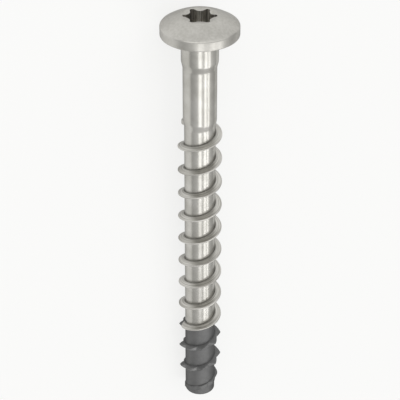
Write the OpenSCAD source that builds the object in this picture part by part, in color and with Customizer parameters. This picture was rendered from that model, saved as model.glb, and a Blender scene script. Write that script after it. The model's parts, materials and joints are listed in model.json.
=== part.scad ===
// Concrete screw with a round head, a six-lobe drive and a welded hardened tip.
// Drawn upright with its bearing face at z = 0, then laid on the floor as it comes to rest.

/* [Head] */
// Diameter of the head
head_d = 13; // [11:0.1:16]
// Height of the head's rim, up to where the dome would meet it
rim_h = 1.62; // [1.2:0.02:2.4]
// Radius of the domed top
dome_r = 11.1; // [9.5:0.1:20]
// Rounding between rim and dome
rim_round = 0.4; // [0.2:0.05:0.6]
// Rounding of the bearing face's outer edge
bearing_round = 0.15; // [0.05:0.05:0.3]
// Fillet between the bearing face and the collar
neck_fillet = 0.3; // [0.1:0.05:0.5]

/* [Drive recess] */
// Six-lobe recess across its points
drive_d = 5.6; // [4.8:0.05:6.2]
// Six-lobe recess across its flutes
drive_inner_d = 3.95; // [3.2:0.05:4.1]
// Radius of a lobe's point
lobe_r = 0.45; // [0.35:0.05:0.55]
// Depth of the recess, from the dome at its points
drive_depth = 2.6; // [1.5:0.1:3]
// Angle of the recess's conical floor
drive_floor_angle = 20; // [10:5:30]
// Diameter of the recess's shallow conical mouth
drive_mouth_d = 6; // [5.8:0.05:6.6]
// Slope of the mouth, down towards the middle of the recess
drive_mouth_angle = 8; // [2:1:15]

/* [Shank] */
// Diameter of the collar under the head
collar_d = 6.2; // [5.9:0.05:7]
// Length of the collar
collar_l = 4.7; // [3:0.1:7]
// Length of the taper below the collar
collar_taper_l = 1.15; // [0.5:0.05:2]
// Diameter of the plain shank
shank_d = 5.68; // [5.4:0.02:5.9]
// Depth of the plain shank's lower end below the head
shank_end = 15.65; // [12:0.05:17]
// Length of the taper from the plain shank to the core
shank_taper_l = 1.15; // [0.5:0.05:2]
// Diameter of the core between the threads
core_d = 5.26; // [4.8:0.02:5.4]

/* [Thread] */
// Outer diameter of the thread
thread_d = 7.5; // [6.6:0.05:8.5]
// Advance of the thread in one turn
pitch = 4.6; // [3.5:0.05:6]
// Depth below the head of the first full crest
first_crest = 18.45; // [17.5:0.05:24]
// Angle between the two flanks of the thread
flank_angle = 38; // [30:1:45]
// Width of the flat on the crest
crest_w = 0.18; // [0.1:0.02:0.3]
// Turns over which the thread grows from the shank
run_in_turns = 0.65; // [0.4:0.05:1]

/* [Hardened tip] */
// Depth of the weld below the head
weld_depth = 57.1; // [45:0.1:60]
// Depth of the screw's end below the head
end_depth = 72; // [68:0.1:80]
// How far the teeth stay inside the thread's outer diameter, on the radius
tooth_drop = 0.05; // [0:0.01:0.2]
// Height above the core of the notches between the teeth
notch_h = 0.39; // [0.2:0.01:0.6]
// Teeth in one turn of the thread
teeth_per_turn = 8; // [6:1:10]
// Share of a tooth's length that rises from its notch
tooth_rise = 0.65; // [0.5:0.01:0.8]
// Turn of the first tooth's peak from the first full crest
tooth_phase = -4; // [-20:1:20]
// Length over which the teeth shrink to nothing at the end
lead_in_l = 5.8; // [3:0.1:8]
// Rounding of the end's rim
end_round = 0.3; // [0.1:0.05:0.5]
// Teeth between the lead-in and the pair that the lying screw rests on
rest_pair = 6; // [2:1:8]

/* [Smoothness] */
// Facets around one turn of the smooth thread
turn_facets = 40; // [24:4:48]

/* [Hidden] */
$fn = 64;
stainless = "silver";
hardened = "dimgray";

head_r = head_d / 2;
core_r = core_d / 2;
thread_r = thread_d / 2;
tooth_r = thread_r - tooth_drop;
overlap = 0.2;
root_r = core_r - overlap;

// Centre of the dome's sphere, and the rounding circle that touches both rim and dome
dome_z = rim_h - sqrt(pow(dome_r, 2) - pow(head_r, 2));
rim_round_x = head_r - rim_round;
rim_round_z = dome_z + sqrt(pow(dome_r - rim_round, 2) - pow(rim_round_x, 2));
dome_touch_x = rim_round_x * dome_r / (dome_r - rim_round);

// Height of the dome at the recess's points and at its mouth
drive_rim_z = dome_z + sqrt(pow(dome_r, 2) - pow(drive_d / 2, 2));
mouth_r = drive_mouth_d / 2;
mouth_z = dome_z + sqrt(pow(dome_r, 2) - pow(mouth_r, 2));
drive_floor_z = drive_rim_z - drive_depth;
lobe_centre = drive_d / 2 - lobe_r;
flute_edge = drive_inner_d / 2;
// Radius of the flute arcs that run smoothly into the lobes' points
flute_r = (pow(lobe_r, 2) - pow(lobe_centre, 2) - pow(flute_edge, 2) + 2 * lobe_centre * flute_edge * cos(30))
    / (2 * (flute_edge - lobe_centre * cos(30) - lobe_r));
flute_centre = flute_edge + flute_r;
// Radius at which a lobe's arc and a flute's arc touch
lobe_share = lobe_r / (lobe_r + flute_r);
lobe_touch = norm([
    lobe_centre + lobe_share * (flute_centre * cos(30) - lobe_centre),
    lobe_share * flute_centre * sin(30)
]);

// Turns are counted along the helix from the first full crest
weld_turn = (weld_depth - first_crest) / pitch;
end_turn = (end_depth - first_crest) / pitch;
start_turn = -run_in_turns - 0.1;
tooth_turn = 1 / teeth_per_turn;
tooth_offset = tooth_phase / 360;

// Share of the full height that the smooth thread has at a turn
function run_in(turn) = min(1, max(0, (turn - start_turn) / run_in_turns));

// Share of the full height that the cutting teeth have at a turn
function lead_in(turn) = min(1, max(0, (end_depth - first_crest - turn * pitch) / lead_in_l));

// Saw-tooth wave, 0 in a notch and 1 on a tooth, with a long rise and a steep fall
function saw(share) = share < tooth_rise ? share / tooth_rise : (1 - share) / (1 - tooth_rise);

function thread_crest(turn) = core_r + (thread_r - core_r) * run_in(turn);

function tooth_crest(turn) =
    let (
        place = (turn - tooth_offset) * teeth_per_turn + tooth_rise,
        wave = saw(place - floor(place)),
        height = notch_h + (tooth_r - core_r - notch_h) * wave
    )
    core_r + height * lead_in(turn);

// Depth below the head of the lower edge of the crest at a turn
function crest_depth(turn) = first_crest + turn * pitch + crest_w / 2;

// Angle at which the screw lies on its head's edge and on a point at a depth and radius
function lie_angle_on(depth, r) =
    let (
        rise = head_r - bearing_round - r,
        run = depth + bearing_round
    )
    atan(rise / run) + asin(bearing_round / norm([rise, run]));

// How it lies: the line along its underside falls midway between two rows of teeth
lead_in_turn = (end_depth - lead_in_l - first_crest) / pitch;
rest_tooth = floor(lead_in_turn * teeth_per_turn) - rest_pair;
rest_turn = (rest_tooth + 0.5) * tooth_turn + tooth_offset;
tooth_props = [
    for (turns = [floor(-rest_turn) : ceil(end_turn - rest_turn)], side = [-0.5, 0.5])
        let (turn = rest_turn + turns + side * tooth_turn)
        if (turn > weld_turn && turn < end_turn)
            lie_angle_on(crest_depth(turn), tooth_crest(turn) * cos(180 / teeth_per_turn))
];
thread_props = [
    for (turns = [floor(-rest_turn) : 0])
        let (turn = rest_turn + turns)
        if (turn > 0 && turn < weld_turn)
            lie_angle_on(crest_depth(turn), thread_r)
];
lie_angle = min(concat(tooth_props, thread_props));
lie_roll = 180 + 360 * rest_turn;
lie_height = (head_r - bearing_round) * cos(lie_angle) - bearing_round * sin(lie_angle) + bearing_round;
reach_tip = end_depth * cos(lie_angle) + (core_r - end_round) * sin(lie_angle);
reach_head = mouth_z * cos(lie_angle) + mouth_r * sin(lie_angle);

// Half the width of the thread's section at a radius
function half_width(r) = crest_w / 2 + (thread_r - r) * tan(flank_angle / 2);

// A point of the helix: radius, turn, and distance along the axis from the crest's middle
function helix_point(r, turn, across) =
    [r * cos(-360 * turn), r * sin(-360 * turn), -first_crest - turn * pitch - across];

// The thread's four-cornered section at one turn
function ring(crest, turn) =
    let (top = max(crest, root_r + overlap / 2))
    [
        helix_point(root_r, turn, -half_width(root_r)),
        helix_point(top, turn, -half_width(top)),
        helix_point(top, turn, half_width(top)),
        helix_point(root_r, turn, half_width(root_r))
    ];

// Skin of a ridge through a row of four-cornered sections
module ridge(rings) {
    corners = len(rings[0]);
    last = len(rings) - 1;
    sides = [
        for (i = [0 : last - 1], k = [0 : corners - 1])
            let (
                a = i * corners + k,
                b = i * corners + (k + 1) % corners
            )
            each [[a, b, b + corners], [a, b + corners, a + corners]]
    ];
    start_cap = [[0, 3, 2], [0, 2, 1]];
    end_cap = [for (face = [[0, 1, 2], [0, 2, 3]]) [for (k = face) last * corners + k]];
    polyhedron(
        points = [for (row = rings) each row],
        faces = concat(sides, start_cap, end_cap),
        convexity = 12
    );
}

// Smooth thread from the shank to just past the weld
module thread_ridge() {
    steps = ceil((weld_turn + 0.5 - start_turn) * turn_facets);
    ridge([
        for (i = [0 : steps])
            let (turn = start_turn + i / turn_facets)
            ring(thread_crest(turn), turn)
    ]);
}

// Saw-tooth thread from just before the weld to the end
module tooth_ridge() {
    first_tooth = floor((weld_turn - 0.5 - tooth_offset) / tooth_turn);
    last_tooth = floor((end_turn - tooth_offset) / tooth_turn);
    stations = [0, (1 - tooth_rise) / 2, 1 - tooth_rise, 1 - tooth_rise * 2 / 3, 1 - tooth_rise / 3];
    ridge([
        for (tooth = [first_tooth : last_tooth], station = stations)
            let (turn = tooth_offset + (tooth + station) * tooth_turn)
            ring(tooth_crest(turn), turn)
    ]);
}

// Space between two depths below the head, wider than the thread
module depth_range(from, to) {
    translate([-thread_d, -thread_d, -to])
        cube([2 * thread_d, 2 * thread_d, to - from]);
}

// Outline of the six-lobe recess
module six_lobes() {
    difference() {
        circle(lobe_touch);
        for (i = [0 : 5])
            rotate(60 * i + 30)
                translate([flute_centre, 0])
                    circle(flute_r);
    }
    for (i = [0 : 5])
        rotate(60 * i)
            translate([lobe_centre, 0])
                circle(lobe_r);
}

// Recess with a conical floor
module drive_recess() {
    cone_h = drive_d / 2 * tan(drive_floor_angle);
    translate([0, 0, drive_floor_z])
        linear_extrude(head_d)
            six_lobes();
    intersection() {
        translate([0, 0, drive_floor_z - cone_h])
            cylinder(h = cone_h, r1 = 0, r2 = drive_d / 2);
        translate([0, 0, drive_floor_z - cone_h])
            linear_extrude(cone_h)
                six_lobes();
    }
}

// Half section of the head's dome, down to the recess's mouth in the middle
module dome_section() {
    difference() {
        intersection() {
            translate([0, dome_z])
                circle(dome_r);
            square([dome_touch_x, dome_r]);
        }
        polygon([
            [0, mouth_z - mouth_r * tan(drive_mouth_angle)],
            [mouth_r, mouth_z],
            [mouth_r, dome_r],
            [0, dome_r]
        ]);
    }
}

// Half section of the head
module head_section() {
    dome_section();
    square([head_r - bearing_round, rim_round_z]);
    translate([0, bearing_round])
        square([head_r, rim_round_z - bearing_round]);
    translate([head_r - bearing_round, bearing_round])
        circle(bearing_round);
    translate([rim_round_x, rim_round_z])
        circle(rim_round);
}

// Half section of collar, shank and core, down to the weld
module shank_section() {
    polygon([
        [0, 0],
        [collar_d / 2, 0],
        [collar_d / 2, -collar_l],
        [shank_d / 2, -collar_l - collar_taper_l],
        [shank_d / 2, -shank_end],
        [core_r, -shank_end - shank_taper_l],
        [core_r, -weld_depth],
        [0, -weld_depth]
    ]);
    difference() {
        translate([collar_d / 2, -neck_fillet])
            square(neck_fillet);
        translate([collar_d / 2 + neck_fillet, -neck_fillet])
            circle(neck_fillet);
    }
}

// Half section of the tip's core
module tip_section() {
    polygon([
        [0, -weld_depth],
        [core_r, -weld_depth],
        [core_r, -end_depth + end_round],
        [core_r - end_round, -end_depth + end_round],
        [core_r - end_round, -end_depth],
        [0, -end_depth]
    ]);
    translate([core_r - end_round, -end_depth + end_round])
        circle(end_round);
}

// Turns the upright screw to lie on its head's edge and its teeth
module lie_down() {
    translate([(reach_head - reach_tip) / 2, 0, lie_height])
        rotate([0, lie_angle - 90, 0])
            rotate(lie_roll)
                children();
}

module stainless_body() {
    color(stainless)
        lie_down()
            difference() {
                union() {
                    rotate_extrude()
                        union() {
                            head_section();
                            shank_section();
                        }
                    intersection() {
                        thread_ridge();
                        depth_range(0, weld_depth);
                    }
                }
                drive_recess();
            }
}

module hardened_tip() {
    color(hardened)
        lie_down() {
            rotate_extrude()
                tip_section();
            intersection() {
                tooth_ridge();
                depth_range(weld_depth, end_depth - end_round);
            }
        }
}

stainless_body();
hardened_tip();
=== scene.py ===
"""Concrete screw with a welded hardened tip, lying on a pale studio floor.

Lengths are metres. Depths run along the screw from the bearing face under its head, towards the tip.
Angles run round the screw from its first full thread crest, the way the thread advances.
"""

import json
import math

import bmesh
import bpy
import numpy as np
from bpy.props import FloatProperty, FloatVectorProperty, PointerProperty
from mathutils import Matrix, Vector


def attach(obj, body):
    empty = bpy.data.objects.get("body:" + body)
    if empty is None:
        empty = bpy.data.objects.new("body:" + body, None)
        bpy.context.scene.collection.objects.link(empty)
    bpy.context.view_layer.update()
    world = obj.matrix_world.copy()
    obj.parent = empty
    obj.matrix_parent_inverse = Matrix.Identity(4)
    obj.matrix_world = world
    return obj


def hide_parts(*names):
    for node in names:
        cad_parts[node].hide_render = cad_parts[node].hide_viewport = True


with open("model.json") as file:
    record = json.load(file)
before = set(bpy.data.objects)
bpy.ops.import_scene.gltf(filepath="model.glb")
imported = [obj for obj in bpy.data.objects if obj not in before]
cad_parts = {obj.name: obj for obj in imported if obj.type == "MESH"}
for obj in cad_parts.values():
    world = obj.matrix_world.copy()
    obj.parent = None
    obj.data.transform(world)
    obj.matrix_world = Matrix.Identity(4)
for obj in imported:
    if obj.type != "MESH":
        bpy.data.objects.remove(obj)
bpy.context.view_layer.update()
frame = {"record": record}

bl_info = {
    "name": "Concrete screw",
    "version": (1, 0, 0),
    "blender": (4, 5, 0),
    "location": "View3D > Sidebar > Screw",
    "description": "Builds a lying concrete screw, its two steels and a plain studio round it",
    "category": "Add Mesh",
}

MM = 0.001
MOUNTS = {mount["name"]: mount for mount in frame["record"]["mounts"]}

# Columns of the grids round the body and the tip, and the distance within which their points are merged
BODY_COLUMNS = 168
TIP_COLUMNS = 160
MERGE_DISTANCE = 2e-7

# Rows of the grids along each stretch, from the recess's floor to the screw's end
RECESS_FLOOR_ROWS = 7
RECESS_WALL_ROWS = 9
RECESS_EDGE_ROWS = 5
DOME_ROWS = 31
RIM_EDGE_ROWS = 9
RIM_ROWS = 9
BEARING_EDGE_ROWS = 7
BEARING_ROWS = 9
NECK_ROWS = 7
COLLAR_ROWS = 7
TAPER_ROWS = 22
SHANK_ROWS = 12
BETWEEN_RIDGES_ROWS = 19
END_EDGE_ROWS = 8
END_ROWS = 7

# Rows on a ridge, as distances from its crest in millimetres, close at the crest's edges and at the roots
RIDGE_ROWS_MM = (0, 0.06, 0.09, 0.12, 0.18, 0.26, 0.34, 0.4, 0.45, 0.5, 0.56, 0.64)

# Turns before the thread's start at which the rows begin to follow the helix
LEAD_TURNS = 0.1

# Rings of a flat cap at the weld, as shares of its radius
CAP_RINGS = (0.7, 0.35, 0)

# Points that soften a taper's corner, by averaging over its reach
CORNER_POINTS = 7

# Angles between faces, in degrees, past which an edge shows sharp
SHARP_ON_BODY = 50
SHARP_ON_TIP = 30

# Values of a noise between which a pattern goes all the way from its first tone to its second
PATCH_RANGE = (0.35, 0.65)
RING_RANGE = (0.4, 0.6)
SCORE_RANGE = (0.42, 0.58)
POLISH_RANGE = (0.3, 0.7)

# Softboxes: degrees to the right of the view, degrees towards the tip, width and height in metres, and level
SOFTBOXES = {
    "front_softbox": (2, 20, 0.16, 0.28, 1.4),
    "right_softbox": (37.5, 23, 0.11, 0.32, 1.6),
    "far_right_softbox": (60, 23, 0.075, 0.32, 1.85),
    "head_softbox": (26.5, -62, 1.0, 0.42, 0.6),
    "left_softbox": (-25, -35, 0.4, 0.3, 0.45),
}
SOFTBOX_DISTANCE = 0.5
FLOOR_HALF = 2.0

# The image is square, and Blender's sensor is this wide
IMAGE_PIXELS = 400
SENSOR_MM = 36


def length(label, words, millimetres):
    """A length property, with its default given in millimetres."""
    return FloatProperty(name=label, description=words, default=millimetres * MM, unit="LENGTH", precision=6)


def angle(label, words, degrees):
    """An angle property, with its default given in degrees."""
    return FloatProperty(name=label, description=words, default=math.radians(degrees), unit="ROTATION")


def share(label, words, value):
    """A share property, from 0 to 1."""
    return FloatProperty(
        name=label, description=words, default=value, min=0, max=1, subtype="FACTOR", precision=4
    )


def number(label, words, value, subtype="NONE"):
    """A plain number property, such as a count or a number of turns."""
    return FloatProperty(name=label, description=words, default=value, subtype=subtype, precision=4)


def linear(code):
    """Linear RGB of an sRGB hex colour: the sRGB curve undone on each channel."""
    channels = [int(code[i : i + 2], 16) / 255 for i in (1, 3, 5)]
    return tuple(c / 12.92 if c <= 0.04045 else ((c + 0.055) / 1.055) ** 2.4 for c in channels)


def colour(label, words, code):
    """A colour property, with its default given as sRGB hex."""
    return FloatVectorProperty(name=label, description=words, default=linear(code), subtype="COLOR", size=3)


class ScrewSizes(bpy.types.PropertyGroup):
    """Sizes of the screw."""

    head_d: length("Head", "Diameter of the head", 13)
    rim_h: length("Rim", "Height of the rim, up to where the dome would meet it", 1.62)
    dome_r: length("Dome", "Radius of the domed top", 11.1)
    rim_round: length("Rim rounding", "Rounding between rim and dome", 0.4)
    bearing_round: length("Bearing edge", "Rounding of the bearing face's outer edge", 0.15)
    neck_fillet: length("Neck fillet", "Fillet between bearing face and collar", 0.3)
    drive_d: length("Drive points", "Six-lobe recess across its points", 5.6)
    drive_inner_d: length("Drive flutes", "Six-lobe recess across its flutes", 3.95)
    lobe_r: length("Lobe", "Radius of a lobe's point", 0.45)
    drive_depth: length("Drive depth", "Depth of the recess from its points", 2.6)
    drive_floor: angle("Drive floor", "Angle of the recess's conical floor", 20)
    mouth_d: length("Drive mouth", "Diameter of the recess's shallow conical mouth", 6)
    mouth_slope: angle("Mouth slope", "Slope of the mouth, down towards the middle", 8)
    mouth_round: length("Mouth rounding", "Blend between the mouth and the dome", 0.08)
    drive_edge: length("Drive edge", "Rounding of the recess's upper edge", 0.07)
    collar_d: length("Collar", "Diameter of the collar under the head", 6.2)
    collar_l: length("Collar length", "Length of the collar", 4.7)
    collar_taper_l: length("Collar taper", "Length of the taper below the collar", 1.15)
    shank_d: length("Shank", "Diameter of the plain shank", 5.68)
    shank_end: length("Shank end", "Depth of the plain shank's lower end", 15.65)
    shank_taper_l: length("Shank taper", "Length of the taper from shank to core", 1.15)
    core_d: length("Core", "Diameter of the core between the threads", 5.26)
    corner: length("Taper corners", "Reach of the soft corners at each taper", 0.16)
    thread_d: length("Thread", "Outer diameter of the thread", 7.5)
    pitch: length("Pitch", "Advance of the thread in one turn", 4.6)
    first_crest: length("First crest", "Depth of the first full crest", 18.45)
    flank: angle("Flank", "Angle between the thread's two flanks", 38)
    crest_w: length("Crest", "Width of the flat on the crest", 0.18)
    crest_round: length("Crest rounding", "Blend between flank and crest", 0.15)
    tooth_edge: length("Tooth edge", "Blend between a tooth's flank and its top", 0.05)
    root_round: length("Root fillet", "Blend between flank and core", 0.1)
    # Half width of the painted shade that runs along the thread's roots
    root_shade_w: length("Root crease", "Half width of the dark crease at the thread's roots", 0.05)
    run_in: number("Run-in", "Turns over which the thread grows from the shank", 0.65)
    start_turn: number("Start", "Turn at which the thread starts, from the first full crest", -0.75)
    blunt_turn: number("Blunt start", "Turn at which the growing thread stands up from the shank", -0.57)
    blunt_run: number("Blunt run", "Turns over which it stands up", 0.05)
    weld_depth: length("Weld", "Depth of the weld", 57.1)
    end_depth: length("End", "Depth of the screw's end", 72)
    end_round: length("End rounding", "Rounding of the end's rim", 0.3)
    tooth_drop: length("Tooth drop", "How far the teeth stay inside the thread's radius", 0.05)
    notch_h: length("Notch", "Height above the core of the notches between teeth", 0.39)
    teeth: number("Teeth", "Teeth in one turn", 8)
    tooth_rise: share("Tooth rise", "Share of a tooth's length that rises from its notch", 0.65)
    tooth_phase: angle("Tooth phase", "Angle of the first tooth's peak", -4)
    lead_in_l: length("Lead-in", "Length over which the teeth shrink at the end", 5.8)
    underside: angle("Underside", "Angle of the screw's side that faces the floor", 243.5)


class ScrewFinish(bpy.types.PropertyGroup):
    """Colours, polish and surface marks of the two steels."""

    stainless: colour("Stainless", "Colour of the stainless steel", "#cbc9c4")
    stainless_shade: colour("Stainless shade", "Colour of the duller patches", "#bbb9b3")
    rolled: colour("Rolled", "Colour of the thread's rolled flanks", "#d8d6d1")
    rolled_shade: colour("Rolled shade", "Colour of the rings rolled into the flanks", "#b0aea8")
    recess: colour("Recess", "Colour of the drive recess's pressed walls", "#cfccc6")
    # The scores' dark tone, which also paints shade into the recess
    recess_scores_and_shade: colour("Recess shade", "Colour of the scores along the recess's walls", "#888580")
    # Colour of the painted shade along the thread's roots
    painted_root_shade: colour("Crease", "Colour of the rolled crease at the thread's roots", "#54524d")
    stainless_edge: colour("Stainless edge", "Tint of the stainless steel at a grazing angle", "#c0c0c0")
    stainless_smooth: share("Stainless smoothness", "Least roughness along the drawn lines", 0.23)
    stainless_rough: share("Stainless roughness", "Most roughness along the drawn lines", 0.27)
    dull_rough: share("Dull roughness", "Roughness of the pressed dome", 0.4)
    thread_dull: share("Thread dullness", "How dull the thread and the rim are, beside the dome", 0.6)
    drawn_l: length("Drawn line length", "Length of the lines drawn along the shank", 9)
    drawn_w: length("Drawn line width", "Width of the lines drawn along the shank", 0.35)
    drawn_depth: length("Drawn line depth", "Depth of the lines drawn along the shank", 0.01)
    drawn_relief: share("Drawn line relief", "Strength of the lines' relief", 0.08)
    grain_w: length("Pressed grain", "Width of the pressed dome's grain", 0.4)
    grain_depth: length("Grain depth", "Depth of the pressed dome's grain", 0.02)
    grain_relief: share("Grain relief", "Strength of the grain's relief and mottle on the dome", 0.6)
    patch_w: length("Patches", "Width of the stainless steel's duller patches", 3)
    ring_w: length("Rings", "Spacing of the rings rolled into the thread's flanks", 0.11)
    ring_l: length("Ring length", "Length along the thread over which a ring changes", 5)
    ring_rise: length("Ring start", "Height above the core at which the rings show in full", 0.2)
    hardened: colour("Hardened", "Colour of the hardened tip", "#858585")
    hardened_shade: colour("Hardened shade", "Colour of the tip's darker patches", "#767676")
    # Colour of the painted shade along the teeth's roots
    hardened_root_shade: colour("Hardened crease", "Colour of the crease at the teeth's roots", "#585858")
    # Paler tone of the teeth's rising faces: partly worn bare, partly a painted highlight
    hardened_bare_and_highlight: colour("Bare hardened", "Colour of the teeth's worn rising faces", "#a2a2a2")
    hardened_edge: colour("Hardened edge", "Tint of the hardened tip at a grazing angle", "#707070")
    hardened_smooth: share("Hardened smoothness", "Least roughness of the hardened tip's grain", 0.51)
    hardened_rough: share("Hardened roughness", "Most roughness of the hardened tip's grain", 0.62)
    mottle_w: length("Hardened mottle", "Width of the hardened tip's patches", 1.2)
    scale_w: length("Hardened grain", "Width of the hardened tip's grain", 0.25)
    scale_depth: length("Hardened grain depth", "Depth of the hardened tip's grain", 0.02)
    scale_relief: share("Hardened relief", "Strength of the hardened tip's relief", 0.12)


class StudioSettings(bpy.types.PropertyGroup):
    """Camera, floor and light."""

    camera_lean: angle("Camera lean", "Angle of the view from square-on, towards the head", 32.19)
    camera_distance: length("Camera distance", "Distance to the first crest, along the view", 267.1)
    camera_drop: length("Camera drop", "How far the view's centre lies below the first crest", 11.04)
    camera_shift: length("Camera shift", "How far the view's centre lies to the right of the axis", 0.02)
    lens_pixels: number("Lens", "Focal length in pixels of the image", 1603, "PIXEL")
    floor: colour("Floor", "Colour of the floor", "#fafaf9")
    floor_far: colour("Far floor", "Colour of the floor far from the screw", "#d0d0ce")
    sheet_middle: FloatVectorProperty(
        name="Sheet middle",
        description="Middle of the pale sheet on the floor",
        default=(-0.06, 0.004, 0),
        unit="LENGTH",
        precision=4,
    )
    sheet_half: FloatVectorProperty(
        name="Sheet size",
        description="Half the length and width of the pale sheet, before it fades",
        default=(0.125, 0.046, 1),
        unit="LENGTH",
        precision=4,
    )
    sheet_fade: number("Sheet fade", "Reach of the sheet's soft border, in sizes of the sheet", 3)
    floor_lift: share("Floor lift", "Share of the floor's own colour that shows through the shadow", 0.8)
    horizon: colour("Horizon", "Colour of the light from the horizon", "#b5b5b4")
    overhead: colour("Overhead", "Colour of the light from overhead", "#eeeeed")


def screw_axis():
    """Centre of the bearing face and unit direction towards the tip.

    The centre is the point of the axis, through the recess's mount, that lies level with the face's mount.
    """
    along = np.array(MOUNTS["head_bearing_face"]["axis"])
    along = along / np.linalg.norm(along)
    on_axis = np.array(MOUNTS["drive_recess"]["pos_m"])
    on_face = np.array(MOUNTS["head_bearing_face"]["pos_m"])
    return on_axis + along * ((on_face - on_axis) @ along), along


def place(sizes, radius, around, depth):
    """Points of the frame at a radius, angle and depth of the screw.

    A point is the bearing face's centre, plus the depth along the axis, plus the radius turned about the
    axis from straight down by the angle past the screw's underside.
    """
    centre, along = screw_axis()
    side = np.array([0.0, 1.0, 0.0])
    down = np.cross(side, along)
    past = np.asarray(around) - sizes.underside
    across = np.multiply.outer(radius * np.cos(past), down) + np.multiply.outer(radius * np.sin(past), side)
    return centre + np.multiply.outer(depth, along) + across


def soft_max(a, b, blend):
    """The larger of two arrays, with the corner where they cross rounded over the blend length."""
    mix = np.clip(0.5 + 0.5 * (a - b) / blend, 0, 1)
    return b + (a - b) * mix + blend * mix * (1 - mix)


def soft_min(a, b, blend):
    """The smaller of two arrays, with the corner where they cross rounded over the blend length."""
    return -soft_max(-a, -b, blend)


def shank_radius(sizes, depth):
    """Radius without thread: a broken line of collar, shank, core and tapers, averaged at its corners."""
    depths = [
        sizes.collar_l,
        sizes.collar_l + sizes.collar_taper_l,
        sizes.shank_end,
        sizes.shank_end + sizes.shank_taper_l,
    ]
    radii = np.array([sizes.collar_d, sizes.shank_d, sizes.shank_d, sizes.core_d]) / 2
    offsets = np.linspace(-sizes.corner, sizes.corner, CORNER_POINTS)
    return np.mean([np.interp(depth + offset, depths, radii) for offset in offsets], axis=0)


def nearest_ridge(sizes, around, depth):
    """Turn of the crest nearest to a point, and the offset from it: whole turns are found by rounding."""
    turns = around / math.tau
    whole = np.round((depth - sizes.first_crest) / sizes.pitch - turns)
    turn = whole + turns
    return turn, depth - sizes.first_crest - turn * sizes.pitch


def full_height(sizes):
    """Height of the full thread above the core: half the difference of their diameters."""
    return (sizes.thread_d - sizes.core_d) / 2


def flank_height(sizes, offset):
    """Height above the core of a full ridge's straight flanks, an even fall on both sides of its crest."""
    return full_height(sizes) - (np.abs(offset) - sizes.crest_w / 2) / math.tan(sizes.flank / 2)


def ridge_radius(sizes, base, height, offset, edge):
    """Radius of a wedge-shaped ridge on a base: two straight flanks, cut off at a height above the core."""
    top = sizes.core_d / 2 + soft_min(flank_height(sizes, offset), height, edge)
    return soft_max(top, base, sizes.root_round)


def thread_growth(sizes, turn):
    """Share of its height that the thread has at a turn: even growth over the run-in, with a blunt start."""
    grown = np.clip((turn - sizes.start_turn) / sizes.run_in, 0, 1)
    return grown * np.clip((turn - sizes.blunt_turn) / sizes.blunt_run, 0, 1)


def stainless_radius(sizes, around, depth):
    """Radius of the stainless shank: a ridge round it that grows to the thread's full height."""
    turn, offset = nearest_ridge(sizes, around, depth)
    height = full_height(sizes) * thread_growth(sizes, turn)
    return ridge_radius(sizes, shank_radius(sizes, depth), height, offset, sizes.crest_round)


def tooth_wave(sizes, turn):
    """Share of a tooth's length passed at a turn, and the saw-tooth wave: 0 in a notch and 1 on a peak."""
    passed = (turn - sizes.tooth_phase / math.tau) * sizes.teeth + sizes.tooth_rise
    # A point on a notch counts to the next tooth, also where rounding puts it just before
    passed = passed - np.floor(passed + 1e-6)
    return passed, np.minimum(passed / sizes.tooth_rise, (1 - passed) / (1 - sizes.tooth_rise))


def tooth_height(sizes, turn):
    """Height of the teeth above the core: the wave from notch to peak, shrinking evenly to the end."""
    peak = full_height(sizes) - sizes.tooth_drop
    left = np.clip((sizes.end_depth - sizes.first_crest - turn * sizes.pitch) / sizes.lead_in_l, 0, 1)
    return (sizes.notch_h + (peak - sizes.notch_h) * tooth_wave(sizes, turn)[1]) * left


def toothed_radius(sizes, around, depth):
    """Radius of the hardened tip: a ridge round the core that follows the height of the teeth."""
    turn, offset = nearest_ridge(sizes, around, depth)
    core = np.full_like(depth, sizes.core_d / 2)
    return ridge_radius(sizes, core, tooth_height(sizes, turn), offset, sizes.tooth_edge)


def root_shade_amount(sizes, around, depth):
    """How deep a point lies in the painted shade along a thread's root: a bell curve across each root."""
    root = sizes.crest_w / 2 + full_height(sizes) * math.tan(sizes.flank / 2)
    turn, offset = nearest_ridge(sizes, around, depth)
    bell = np.exp(-(((np.abs(offset) - root) / sizes.root_shade_w) ** 2))
    return bell * thread_growth(sizes, turn)


def tooth_wear_and_highlight(sizes, around, depth):
    """How pale the rising face of a tooth is: partly worn bare, partly a painted highlight.

    It is full at the notch and falls with the square of the way left to the peak. There is none on the
    flanks, and none where the teeth have shrunk to less than half a notch's height.
    """
    turn, offset = nearest_ridge(sizes, around, depth)
    passed = tooth_wave(sizes, turn)[0] / sizes.tooth_rise
    height = tooth_height(sizes, turn)
    on_top = np.clip(0.5 + (flank_height(sizes, offset) - height) / sizes.tooth_edge, 0, 1)
    return np.clip(1 - passed, 0, 1) ** 2 * on_top * np.clip(height / sizes.notch_h - 0.5, 0, 1)


def ridge_rows(sizes):
    """Offsets of the rows across one pitch: those on both sides of a ridge, then even ones to the next."""
    near = np.array(RIDGE_ROWS_MM) * MM
    between = np.linspace(near[-1], sizes.pitch - near[-1], BETWEEN_RIDGES_ROWS)
    return np.concatenate([-near[:0:-1], near, between[1:-1]])


def helix_depths(sizes, around, first, last):
    """Depths of rows that follow the helix: the crest's depth plus a row's offset, within two limits."""
    start = math.floor((first - sizes.first_crest) / sizes.pitch) - 1
    stop = math.ceil((last - sizes.first_crest) / sizes.pitch) + 1
    offsets = ridge_rows(sizes)
    rows = (np.arange(start, stop)[:, None] * sizes.pitch + offsets[None, :]).ravel()
    depth = sizes.first_crest + sizes.pitch * around[None, :] / math.tau + rows[:, None]
    return np.clip(depth, first, last)


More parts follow.
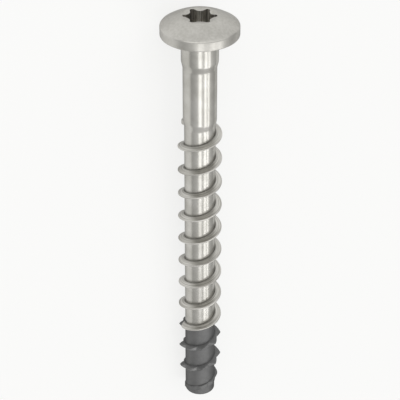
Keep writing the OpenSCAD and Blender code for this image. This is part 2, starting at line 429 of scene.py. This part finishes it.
def recess_outline(sizes, around):
    """Polar radius of the six-lobe recess: lobe arcs on six spokes, and flute arcs midway between them.

    Each arc's radius is the cosine-rule solution for a circle seen from the centre, and the flute's radius
    is the one at which the two arcs touch.
    """
    lobe_c = sizes.drive_d / 2 - sizes.lobe_r
    edge = sizes.drive_inner_d / 2
    sixth = math.radians(60)
    half = sixth / 2
    flute_r = (sizes.lobe_r**2 - lobe_c**2 - edge**2 + 2 * lobe_c * edge * math.cos(half)) / (
        2 * (edge - lobe_c * math.cos(half) - sizes.lobe_r)
    )
    flute_c = edge + flute_r
    part = sizes.lobe_r / (sizes.lobe_r + flute_r)
    touch_x = lobe_c + part * (flute_c * math.cos(half) - lobe_c)
    touch_y = part * flute_c * math.sin(half)
    fold = np.abs((around + half) % sixth - half)
    lobe = lobe_c * np.cos(fold) + np.sqrt(np.maximum(sizes.lobe_r**2 - (lobe_c * np.sin(fold)) ** 2, 0))
    beside = half - fold
    flute = flute_c * np.cos(beside) - np.sqrt(np.maximum(flute_r**2 - (flute_c * np.sin(beside)) ** 2, 0))
    return np.where(fold < math.atan2(touch_y, touch_x), lobe, flute)


def arc(centre_r, centre_depth, radius, start, stop, steps):
    """Radii and depths along an arc: its centre plus its radius, turned by degrees from square-out."""
    turn = np.radians(np.linspace(start, stop, steps))
    return centre_r + radius * np.cos(turn), centre_depth - radius * np.sin(turn)


def head_rows(sizes, around):
    """Radius and depth rows of the head, from the middle of its recess over the dome to the collar.

    The floor is a cone, and the walls run straight up from the outline to a quarter-round edge. The top is
    the deeper of a sphere and a cone. The rim, bearing face and fillet are a profile carried round the axis.
    With them come the slices of the rows on the recess's walls, and on the recess and dome together.
    """
    head_r = sizes.head_d / 2
    outline = recess_outline(sizes, around)[None, :]
    sphere_depth = -sizes.rim_h + math.sqrt(sizes.dome_r**2 - head_r**2)

    def dome(radius):
        return sphere_depth - np.sqrt(sizes.dome_r**2 - radius**2)

    def top(radius):
        cone = dome(sizes.mouth_d / 2) + (sizes.mouth_d / 2 - radius) * math.tan(sizes.mouth_slope)
        return soft_max(dome(radius), cone, sizes.mouth_round)

    slope = math.tan(sizes.drive_floor)
    floor_rim = dome(sizes.drive_d / 2) + sizes.drive_depth
    grow = np.linspace(0, 1, RECESS_FLOOR_ROWS)[:, None]
    floor_r = grow * outline
    floor_d = floor_rim + (sizes.drive_d / 2 - floor_r) * slope

    mouth = top(outline + sizes.drive_edge) + sizes.drive_edge
    climb = np.linspace(0, 1, RECESS_WALL_ROWS)[1:-1, None]
    wall_d = floor_d[-1:] + (mouth - floor_d[-1:]) * climb
    wall_r = np.repeat(outline, len(climb), axis=0)
    bend = np.radians(np.linspace(0, 90, RECESS_EDGE_ROWS))[:, None]
    edge_r = outline + sizes.drive_edge * (1 - np.cos(bend))
    edge_d = mouth - sizes.drive_edge * np.sin(bend)

    round_r = head_r - sizes.rim_round
    round_d = sphere_depth - math.sqrt((sizes.dome_r - sizes.rim_round) ** 2 - round_r**2)
    touch_r = round_r * sizes.dome_r / (sizes.dome_r - sizes.rim_round)
    spread = np.linspace(0, 1, DOME_ROWS)[1:, None]
    dome_r = edge_r[-1:] + (touch_r - edge_r[-1:]) * spread
    dome_d = top(dome_r)

    lean = math.degrees(math.acos((touch_r - round_r) / sizes.rim_round))
    rim = [arc(round_r, round_d, sizes.rim_round, lean, 0, RIM_EDGE_ROWS)]
    straight = np.linspace(round_d, -sizes.bearing_round, RIM_ROWS)[1:-1]
    rim.append((np.full_like(straight, head_r), straight))
    face_r = head_r - sizes.bearing_round
    rim.append(arc(face_r, -sizes.bearing_round, sizes.bearing_round, 0, -90, BEARING_EDGE_ROWS))
    neck_r = sizes.collar_d / 2 + sizes.neck_fillet
    face = np.linspace(face_r, neck_r, BEARING_ROWS)[1:-1]
    rim.append((face, np.zeros_like(face)))
    rim.append(arc(neck_r, sizes.neck_fillet, sizes.neck_fillet, 90, 180, NECK_ROWS))
    rim_r = np.concatenate([part[0] for part in rim])[:, None] * np.ones_like(outline)
    rim_d = np.concatenate([part[1] for part in rim])[:, None] * np.ones_like(outline)
    return (
        np.concatenate([floor_r, wall_r, edge_r, dome_r, rim_r]),
        np.concatenate([floor_d, wall_d, edge_d, dome_d, rim_d]),
        slice(len(grow), len(grow) + len(climb) + 1),
        slice(0, len(grow) + len(climb) + len(bend) + len(spread)),
    )


def grid_mesh(name, points, sharp_degrees, attributes):
    """A closed mesh from a grid of points: each grid cell is a face, and points that coincide are merged."""
    rows, columns = points.shape[:2]
    index = np.arange(rows * columns).reshape(rows, columns)
    cells = np.stack([index[:-1, :-1], index[:-1, 1:], index[1:, 1:], index[1:, :-1]], axis=-1)
    mesh = bpy.data.meshes.new(name)
    mesh.from_pydata(points.reshape(-1, 3), [], cells.reshape(-1, 4))
    for label, values in attributes.items():
        layer = mesh.attributes.new(label, "FLOAT", "POINT")
        layer.data.foreach_set("value", values.astype(np.float32).ravel())
    work = bmesh.new()
    work.from_mesh(mesh)
    bmesh.ops.remove_doubles(work, verts=work.verts, dist=MERGE_DISTANCE)
    work.to_mesh(mesh)
    work.free()
    mesh.shade_smooth()
    mesh.set_sharp_from_angle(angle=math.radians(sharp_degrees))
    piece = bpy.data.objects.new(name, mesh)
    bpy.context.scene.collection.objects.link(piece)
    return piece


def add_node(tree, kind, settings=None, values=None, links=None):
    """A shader node with its settings, the values of its input sockets and the sockets linked into it."""
    node = tree.nodes.new(kind)
    for key, value in (settings or {}).items():
        setattr(node, key, value)
    for key, value in (values or {}).items():
        node.inputs[key].default_value = value
    for key, socket in (links or {}).items():
        tree.links.new(socket, node.inputs[key])
    return node


def new_material(name):
    """An empty material with its output node."""
    material = bpy.data.materials.new(name)
    material.use_nodes = True
    tree = material.node_tree
    tree.nodes.clear()
    return material, tree, add_node(tree, "ShaderNodeOutputMaterial")


def waves(size):
    """Texture scale, in waves to a metre, of a pattern that repeats over a size."""
    return 1 / size


def screw_coordinates(tree):
    """Object coordinates turned to run along the screw: x is the depth, and the axis is y = z = 0."""
    centre, along = screw_axis()
    fall = math.atan2(-along[2], along[0])
    unturned = add_node(tree, "ShaderNodeTexCoord")
    return add_node(
        tree,
        "ShaderNodeMapping",
        {"vector_type": "TEXTURE"},
        {"Location": centre, "Rotation": (0, fall, 0)},
        {"Vector": unturned.outputs["Object"]},
    ).outputs["Vector"]


def drawn_lines(tree, finish, spot):
    """Faint lines that drawing leaves along the shank: noise stretched along the screw."""
    stretched = add_node(
        tree,
        "ShaderNodeMapping",
        values={"Scale": (waves(finish.drawn_l), waves(finish.drawn_w), waves(finish.drawn_w))},
        links={"Vector": spot},
    )
    return add_node(
        tree,
        "ShaderNodeTexNoise",
        values={"Scale": 1, "Detail": 1},
        links={"Vector": stretched.outputs["Vector"]},
    ).outputs["Fac"]


def patchy_metal(tree, finish, spot, grain, pressed):
    """Colour of bare stainless steel: broad duller patches, which give way to the grain of pressed faces."""
    cloud = add_node(
        tree,
        "ShaderNodeTexNoise",
        values={"Scale": waves(finish.patch_w), "Detail": 2},
        links={"Vector": spot},
    )
    mottle = add_node(tree, "ShaderNodeMix", links={0: pressed, 2: cloud.outputs["Fac"], 3: grain})
    patches = add_node(
        tree,
        "ShaderNodeMapRange",
        values={"From Min": PATCH_RANGE[0], "From Max": PATCH_RANGE[1]},
        links={"Value": mottle.outputs[0]},
    )
    return add_node(
        tree,
        "ShaderNodeMix",
        {"data_type": "RGBA"},
        {6: (*finish.stainless, 1), 7: (*finish.stainless_shade, 1)},
        {0: patches.outputs["Result"]},
    ).outputs[2]


def rolled_flanks(tree, finish, spot, metal):
    """The metal's colour with the rings that rolling leaves on the thread's flanks.

    The rings are noise that runs quickly with the height above the core and slowly along the thread.
    """
    above = add_node(tree, "ShaderNodeAttribute", {"attribute_name": "rise"}).outputs["Fac"]
    steps = add_node(
        tree,
        "ShaderNodeMath",
        {"operation": "MULTIPLY"},
        {1: waves(finish.ring_w)},
        {0: above},
    )
    slow = add_node(
        tree,
        "ShaderNodeMapping",
        values={"Scale": (waves(finish.ring_l), waves(finish.ring_l), waves(finish.ring_l))},
        links={"Vector": spot},
    )
    rings = add_node(
        tree,
        "ShaderNodeTexNoise",
        {"noise_dimensions": "4D"},
        {"Scale": 1, "Detail": 1},
        {"Vector": slow.outputs["Vector"], "W": steps.outputs["Value"]},
    )
    marked = add_node(
        tree,
        "ShaderNodeMapRange",
        values={"From Min": RING_RANGE[0], "From Max": RING_RANGE[1]},
        links={"Value": rings.outputs["Fac"]},
    )
    ringed = add_node(
        tree,
        "ShaderNodeMix",
        {"data_type": "RGBA"},
        {6: (*finish.rolled, 1), 7: (*finish.rolled_shade, 1)},
        {0: marked.outputs["Result"]},
    )
    flank = add_node(
        tree,
        "ShaderNodeMapRange",
        values={"From Max": finish.ring_rise},
        links={"Value": above},
    )
    return add_node(
        tree,
        "ShaderNodeMix",
        {"data_type": "RGBA"},
        links={0: flank.outputs["Result"], 6: metal, 7: ringed.outputs[2]},
    ).outputs[2]


def shaded_recess_walls(tree, finish, lines, metal):
    """The metal's colour with the pressed walls of the recess, and scores down them where the lines run.

    The scores' dark tone also paints shade into the recess.
    """
    inside = add_node(tree, "ShaderNodeAttribute", {"attribute_name": "recess"})
    scored = add_node(
        tree,
        "ShaderNodeMapRange",
        values={"From Min": SCORE_RANGE[0], "From Max": SCORE_RANGE[1]},
        links={"Value": lines},
    )
    walls = add_node(
        tree,
        "ShaderNodeMix",
        {"data_type": "RGBA"},
        {6: (*finish.recess, 1), 7: (*finish.recess_scores_and_shade, 1)},
        {0: scored.outputs["Result"]},
    )
    return add_node(
        tree,
        "ShaderNodeMix",
        {"data_type": "RGBA"},
        links={0: inside.outputs["Fac"], 6: metal, 7: walls.outputs[2]},
    ).outputs[2]


def toned(tree, mark, metal, tone):
    """The metal's colour, turned to another tone as far as one of the surface's marks says."""
    amount = add_node(tree, "ShaderNodeAttribute", {"attribute_name": mark})
    return add_node(
        tree,
        "ShaderNodeMix",
        {"data_type": "RGBA"},
        {7: (*tone, 1)},
        {0: amount.outputs["Fac"], 6: metal},
    ).outputs[2]


def polish(tree, noise, smooth, rough):
    """Roughness that varies with a noise, between its least and its most."""
    return add_node(
        tree,
        "ShaderNodeMapRange",
        values={
            "From Min": POLISH_RANGE[0],
            "From Max": POLISH_RANGE[1],
            "To Min": smooth,
            "To Max": rough,
        },
        links={"Value": noise},
    ).outputs["Result"]


def stainless_steel(finish):
    """Cold-formed stainless steel, a warm satin grey.

    Drawing leaves faint lines along the shank. Pressing leaves a dull grain on the dome and scores down the
    recess, whose dark tone also paints shade into it. Rolling leaves rings on the thread's flanks, and a
    painted shade runs dark along its roots. On a real screw the lines, the grain and the rings are finer:
    they are drawn coarse enough to show.
    """
    material, tree, output = new_material("cold_formed_stainless_steel")
    spot = screw_coordinates(tree)
    lines = drawn_lines(tree, finish, spot)
    grain = add_node(
        tree,
        "ShaderNodeTexNoise",
        values={"Scale": waves(finish.grain_w), "Detail": 2},
        links={"Vector": spot},
    ).outputs["Fac"]
    dull = add_node(tree, "ShaderNodeAttribute", {"attribute_name": "dull"}).outputs["Fac"]
    pressed = add_node(
        tree,
        "ShaderNodeMath",
        {"operation": "MULTIPLY"},
        {1: finish.grain_relief},
        {0: dull},
    ).outputs["Value"]
    metal = patchy_metal(tree, finish, spot, grain, pressed)
    rolled = rolled_flanks(tree, finish, spot, metal)
    # Scores down the recess, which also paint shade into it
    scored = shaded_recess_walls(tree, finish, lines, rolled)
    # Painted shade, darker along the thread's roots
    root_shaded = toned(tree, "painted_root_shade", scored, finish.painted_root_shade)
    rough = add_node(
        tree,
        "ShaderNodeMix",
        values={3: finish.dull_rough},
        links={0: dull, 2: polish(tree, lines, finish.stainless_smooth, finish.stainless_rough)},
    )
    streaks = add_node(
        tree,
        "ShaderNodeBump",
        values={"Strength": finish.drawn_relief, "Distance": finish.drawn_depth},
        links={"Height": lines},
    )
    relief = add_node(
        tree,
        "ShaderNodeBump",
        values={"Distance": finish.grain_depth},
        links={"Strength": pressed, "Height": grain, "Normal": streaks.outputs["Normal"]},
    )
    shader = add_node(
        tree,
        "ShaderNodeBsdfPrincipled",
        values={"Metallic": 1, "Specular Tint": (*finish.stainless_edge, 1)},
        links={"Base Color": root_shaded, "Roughness": rough.outputs[0], "Normal": relief.outputs["Normal"]},
    )
    tree.links.new(shader.outputs["BSDF"], output.inputs["Surface"])
    return material


def hardened_steel(finish):
    """Hardened carbon steel, a dark neutral grey.

    Heat treatment leaves it dull, with a soft mottle and a grain that is drawn coarse enough to show. It is
    darker along the teeth's roots, a painted shade. Its rising faces are paler from the notch: partly worn
    bare, partly a painted highlight.
    """
    material, tree, output = new_material("hardened_carbon_steel")
    spot = screw_coordinates(tree)
    mottle = add_node(
        tree,
        "ShaderNodeTexNoise",
        values={"Scale": waves(finish.mottle_w), "Detail": 3},
        links={"Vector": spot},
    )
    grain = add_node(
        tree,
        "ShaderNodeTexNoise",
        values={"Scale": waves(finish.scale_w), "Detail": 4, "Roughness": 0.6},
        links={"Vector": spot},
    ).outputs["Fac"]
    metal = add_node(
        tree,
        "ShaderNodeMix",
        {"data_type": "RGBA"},
        {6: (*finish.hardened, 1), 7: (*finish.hardened_shade, 1)},
        {0: mottle.outputs["Fac"]},
    )
    # Painted shade, darker along the teeth's roots
    root_shaded = toned(tree, "painted_root_shade", metal.outputs[2], finish.hardened_root_shade)
    # Rising faces paler: partly worn bare, partly a painted highlight
    worn_and_highlit = toned(tree, "wear_and_highlight", root_shaded, finish.hardened_bare_and_highlight)
    relief = add_node(
        tree,
        "ShaderNodeBump",
        values={"Strength": finish.scale_relief, "Distance": finish.scale_depth},
        links={"Height": grain},
    )
    shader = add_node(
        tree,
        "ShaderNodeBsdfPrincipled",
        values={"Metallic": 1, "Specular Tint": (*finish.hardened_edge, 1)},
        links={
            "Base Color": worn_and_highlit,
            "Roughness": polish(tree, grain, finish.hardened_smooth, finish.hardened_rough),
            "Normal": relief.outputs["Normal"],
        },
    )
    tree.links.new(shader.outputs["BSDF"], output.inputs["Surface"])
    return material


def studio_paper(studio):
    """Matt studio paper, palest round the screw and greyer further out.

    A share of its own colour shows through the shadow on it, to the camera and in the metal alike.
    """
    material, tree, output = new_material("pale_studio_paper")
    spot = add_node(tree, "ShaderNodeTexCoord")
    sheet = add_node(
        tree,
        "ShaderNodeMapping",
        {"vector_type": "TEXTURE"},
        {"Location": studio.sheet_middle, "Scale": studio.sheet_half},
        {"Vector": spot.outputs["Object"]},
    )
    spread = add_node(
        tree,
        "ShaderNodeVectorMath",
        {"operation": "ABSOLUTE"},
        links={0: sheet.outputs["Vector"]},
    )
    sides = add_node(tree, "ShaderNodeSeparateXYZ", links={"Vector": spread.outputs["Vector"]})
    beyond = add_node(
        tree,
        "ShaderNodeMath",
        {"operation": "MAXIMUM"},
        links={0: sides.outputs["X"], 1: sides.outputs["Y"]},
    )
    fade = add_node(
        tree,
        "ShaderNodeMapRange",
        {"interpolation_type": "SMOOTHSTEP"},
        {"From Min": 1, "From Max": studio.sheet_fade},
        {"Value": beyond.outputs["Value"]},
    )
    tone = add_node(
        tree,
        "ShaderNodeMix",
        {"data_type": "RGBA"},
        {6: (*studio.floor, 1), 7: (*studio.floor_far, 1)},
        {0: fade.outputs["Result"]},
    )
    paper = add_node(
        tree,
        "ShaderNodeBsdfPrincipled",
        values={"Roughness": 0.9, "Specular IOR Level": 0.2},
        links={"Base Color": tone.outputs[2]},
    )
    glow = add_node(tree, "ShaderNodeEmission", links={"Color": tone.outputs[2]})
    ray = add_node(tree, "ShaderNodeLightPath")
    mirrored = add_node(
        tree,
        "ShaderNodeMath",
        {"operation": "MAXIMUM"},
        links={0: ray.outputs["Is Glossy Ray"], 1: ray.outputs["Is Transmission Ray"]},
    )
    seen = add_node(
        tree,
        "ShaderNodeMath",
        {"operation": "MAXIMUM"},
        links={0: ray.outputs["Is Camera Ray"], 1: mirrored.outputs["Value"]},
    )
    lift = add_node(
        tree,
        "ShaderNodeMath",
        {"operation": "MULTIPLY"},
        {1: studio.floor_lift},
        {0: seen.outputs["Value"]},
    )
    lifted = add_node(
        tree,
        "ShaderNodeMixShader",
        links={0: lift.outputs["Value"], 1: paper.outputs["BSDF"], 2: glow.outputs["Emission"]},
    )
    tree.links.new(lifted.outputs["Shader"], output.inputs["Surface"])
    return material


def studio_direction(sizes, to_right, to_tip):
    """Unit direction from the screw: turned to the right of the view, then leaned towards the tip."""
    side = place(sizes, 1.0, math.radians(90) - to_right, 0.0) - place(sizes, 0.0, 0.0, 0.0)
    along = place(sizes, 0.0, 0.0, 1.0) - place(sizes, 0.0, 0.0, 0.0)
    return Vector(side) * math.cos(to_tip) + Vector(along) * math.sin(to_tip)


def look_matrix(right, up, back, spot):
    """Matrix of a camera or lamp from its right, up and backward directions and its place."""
    turn = Matrix((right, up, back)).transposed().to_4x4()
    return Matrix.Translation(spot) @ turn


class SCREW_OT_stainless_body(bpy.types.Operator):
    """Build the stainless head, shank and thread as one closed surface"""

    bl_idname = "screw.stainless_body"
    bl_label = "Stainless body"

    def execute(self, context):
        sizes = context.scene.screw_sizes
        finish = context.scene.screw_finish
        around = np.linspace(0, math.tau, BODY_COLUMNS + 1)
        head_r, head_d, wall_rows, dome_rows = head_rows(sizes, around)
        thread_top = sizes.first_crest + (sizes.start_turn - LEAD_TURNS) * sizes.pitch
        taper_end = sizes.collar_l + sizes.collar_taper_l
        shank = np.concatenate(
            [
                np.linspace(sizes.neck_fillet, sizes.collar_l - 3 * sizes.corner, COLLAR_ROWS)[1:],
                np.linspace(sizes.collar_l - 2 * sizes.corner, taper_end + 2 * sizes.corner, TAPER_ROWS),
                np.linspace(taper_end + 3 * sizes.corner, thread_top, SHANK_ROWS)[:-1],
            ]
        )
        shank_d = shank[:, None] * np.ones_like(around)[None, :]
        shank_r = shank_radius(sizes, shank_d)
        thread_d = helix_depths(sizes, around, thread_top, sizes.weld_depth)
        thread_r = stainless_radius(sizes, around[None, :], thread_d)
        cap_r = thread_r[-1:] * np.array(CAP_RINGS)[:, None]
        cap_d = np.full_like(cap_r, sizes.weld_depth)
        radius = np.concatenate([head_r, shank_r, thread_r, cap_r])
        depth = np.concatenate([head_d, shank_d, thread_d, cap_d])
        # The recess's walls, which get the scores and the painted shade
        recess = np.zeros_like(radius)
        recess[wall_rows] = 1
        rise = radius - shank_radius(sizes, depth)
        rise[: len(head_r)] = 0
        dull = finish.thread_dull * np.clip(rise / (2 * sizes.root_round), 0, 1)
        dull[: len(head_r)] = finish.thread_dull
        dull[dome_rows] = 1
        # How far each point lies in the painted shade along the thread's roots
        painted_root_shade = root_shade_amount(sizes, around[None, :], depth)
        points = place(sizes, radius, around[None, :], depth)
        marks = {"dull": dull, "rise": rise, "recess": recess, "painted_root_shade": painted_root_shade}
        body = grid_mesh("stainless_screw_body", points, SHARP_ON_BODY, marks)
        body.data.materials.append(stainless_steel(finish))
        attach(body, "root")
        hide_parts("stainless_body")
        return {"FINISHED"}


class SCREW_OT_hardened_tip(bpy.types.Operator):
    """Build the hardened tip with its saw-tooth thread as one closed surface"""

    bl_idname = "screw.hardened_tip"
    bl_label = "Hardened tip"

    def execute(self, context):
        sizes = context.scene.screw_sizes
        around = np.linspace(0, math.tau, TIP_COLUMNS + 1) + sizes.tooth_phase
        core_r = sizes.core_d / 2
        thread_end = sizes.end_depth - sizes.end_round
        thread_d = helix_depths(sizes, around, sizes.weld_depth, thread_end)
        thread_r = toothed_radius(sizes, around[None, :], thread_d)
        cap_r = thread_r[:1] * np.array(CAP_RINGS)[::-1, None]
        cap_d = np.full_like(cap_r, sizes.weld_depth)
        bend = np.radians(np.linspace(0, 90, END_EDGE_ROWS))[1:, None]
        proud = thread_r[-1:] - core_r
        edge_r = core_r - sizes.end_round * (1 - np.cos(bend)) + proud * np.cos(bend)
        edge_d = thread_end + sizes.end_round * np.sin(bend) * np.ones_like(proud)
        end_r = edge_r[-1:] * np.linspace(1, 0, END_ROWS)[1:, None]
        end_d = np.full_like(end_r, sizes.end_depth)
        radius = np.concatenate([cap_r, thread_r, edge_r, end_r])
        depth = np.concatenate([cap_d, thread_d, edge_d, end_d])
        # How far each point lies in the painted shade along the teeth's roots
        painted_root_shade = root_shade_amount(sizes, around[None, :], depth)
        # How pale each rising face is: partly worn bare, partly a painted highlight
        wear_and_highlight = tooth_wear_and_highlight(sizes, around[None, :], depth)
        points = place(sizes, radius, around[None, :], depth)
        tip = grid_mesh("hardened_screw_tip", points, SHARP_ON_TIP, {"painted_root_shade": painted_root_shade, "wear_and_highlight": wear_and_highlight})
        tip.data.materials.append(hardened_steel(context.scene.screw_finish))
        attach(tip, "root")
        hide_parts("hardened_tip")
        return {"FINISHED"}


class SCREW_OT_stage(bpy.types.Operator):
    """Lay the floor, set the lamps and place the camera"""

    bl_idname = "screw.stage"
    bl_label = "Floor, light and camera"

    def execute(self, context):
        sizes = context.scene.screw_sizes
        studio = context.scene.screw_studio
        self.lay_floor(context, studio)
        self.hang_lamps(context, sizes)
        self.set_world(context, studio)
        self.place_camera(context, sizes, studio)
        context.scene.view_settings.view_transform = "Standard"
        return {"FINISHED"}

    def lay_floor(self, context, studio):
        """A flat square of studio paper under the screw."""
        mesh = bpy.data.meshes.new("studio_floor")
        corners = [(-1, -1), (1, -1), (1, 1), (-1, 1)]
        mesh.from_pydata([(x * FLOOR_HALF, y * FLOOR_HALF, 0) for x, y in corners], [], [(0, 1, 2, 3)])
        mesh.materials.append(studio_paper(studio))
        floor = bpy.data.objects.new("studio_floor", mesh)
        context.scene.collection.objects.link(floor)

    def hang_lamps(self, context, sizes):
        """Softboxes round the screw's middle, each turned towards it with its height along the screw.

        A lamp's power grows with its area, so that its size doesn't change how bright it looks.
        """
        middle = Vector(place(sizes, 0.0, 0.0, sizes.end_depth / 2))
        along = studio_direction(sizes, 0, math.radians(90))
        for name, (to_right, to_tip, wide, tall, level) in SOFTBOXES.items():
            back = studio_direction(sizes, math.radians(to_right), math.radians(to_tip))
            right = along.cross(back).normalized()
            lamp = bpy.data.lights.new(name, "AREA")
            lamp.shape = "RECTANGLE"
            lamp.size = wide
            lamp.size_y = tall
            lamp.energy = level * math.pi * wide * tall
            holder = bpy.data.objects.new(name, lamp)
            spot = middle + back * SOFTBOX_DISTANCE
            holder.matrix_world = look_matrix(right, back.cross(right), back, spot)
            holder.visible_camera = False
            context.scene.collection.objects.link(holder)

    def set_world(self, context, studio):
        """Even light from all round that is dimmer towards the horizon and brightest overhead."""
        world = bpy.data.worlds.new("studio")
        world.use_nodes = True
        tree = world.node_tree
        tree.nodes.clear()
        output = add_node(tree, "ShaderNodeOutputWorld")
        spot = add_node(tree, "ShaderNodeTexCoord")
        parts = add_node(tree, "ShaderNodeSeparateXYZ", links={"Vector": spot.outputs["Generated"]})
        sky = add_node(
            tree,
            "ShaderNodeMix",
            {"data_type": "RGBA"},
            {6: (*studio.horizon, 1), 7: (*studio.overhead, 1)},
            {0: parts.outputs["Z"]},
        )
        light = add_node(tree, "ShaderNodeBackground", links={"Color": sky.outputs[2]})
        tree.links.new(light.outputs["Background"], output.inputs["Surface"])
        context.scene.world = world

    def place_camera(self, context, sizes, studio):
        """The camera looks at the screw's front, leaned towards the head, with the head up in the image."""
        lean = studio.camera_lean
        to_head = -studio_direction(sizes, 0, math.radians(90))
        front = studio_direction(sizes, 0, 0)
        right = studio_direction(sizes, math.radians(90), 0)
        up = to_head * math.cos(lean) - front * math.sin(lean)
        back = to_head * math.sin(lean) + front * math.cos(lean)
        crest = Vector(place(sizes, 0.0, 0.0, sizes.first_crest))
        spot = crest + right * studio.camera_shift - up * studio.camera_drop + back * studio.camera_distance
        camera = bpy.data.cameras.new("photo_camera")
        camera.sensor_width = SENSOR_MM
        camera.lens = studio.lens_pixels / IMAGE_PIXELS * SENSOR_MM
        camera.clip_start = 0.01
        holder = bpy.data.objects.new("photo_camera", camera)
        holder.matrix_world = look_matrix(right, up, back, spot)
        context.scene.collection.objects.link(holder)
        context.scene.camera = holder


class SCREW_PT_panel(bpy.types.Panel):
    """Sizes, finishes and the steps that build the screw"""

    bl_idname = "SCREW_PT_panel"
    bl_label = "Concrete screw"
    bl_space_type = "VIEW_3D"
    bl_region_type = "UI"
    bl_category = "Screw"

    def draw(self, context):
        layout = self.layout
        for operator in OPERATORS:
            layout.operator(operator.bl_idname)
        for group in (context.scene.screw_sizes, context.scene.screw_finish, context.scene.screw_studio):
            box = layout.box()
            for name in group.__annotations__:
                box.prop(group, name)


OPERATORS = (SCREW_OT_stainless_body, SCREW_OT_hardened_tip, SCREW_OT_stage)
CLASSES = (ScrewSizes, ScrewFinish, StudioSettings, *OPERATORS, SCREW_PT_panel)


def register():
    for cls in CLASSES:
        bpy.utils.register_class(cls)
    bpy.types.Scene.screw_sizes = PointerProperty(type=ScrewSizes)
    bpy.types.Scene.screw_finish = PointerProperty(type=ScrewFinish)
    bpy.types.Scene.screw_studio = PointerProperty(type=StudioSettings)


def unregister():
    del bpy.types.Scene.screw_studio
    del bpy.types.Scene.screw_finish
    del bpy.types.Scene.screw_sizes
    for cls in reversed(CLASSES):
        bpy.utils.unregister_class(cls)


def main():
    register()
    bpy.ops.screw.stainless_body()
    bpy.ops.screw.hardened_tip()
    bpy.ops.screw.stage()


if __name__ == "__main__":
    main()
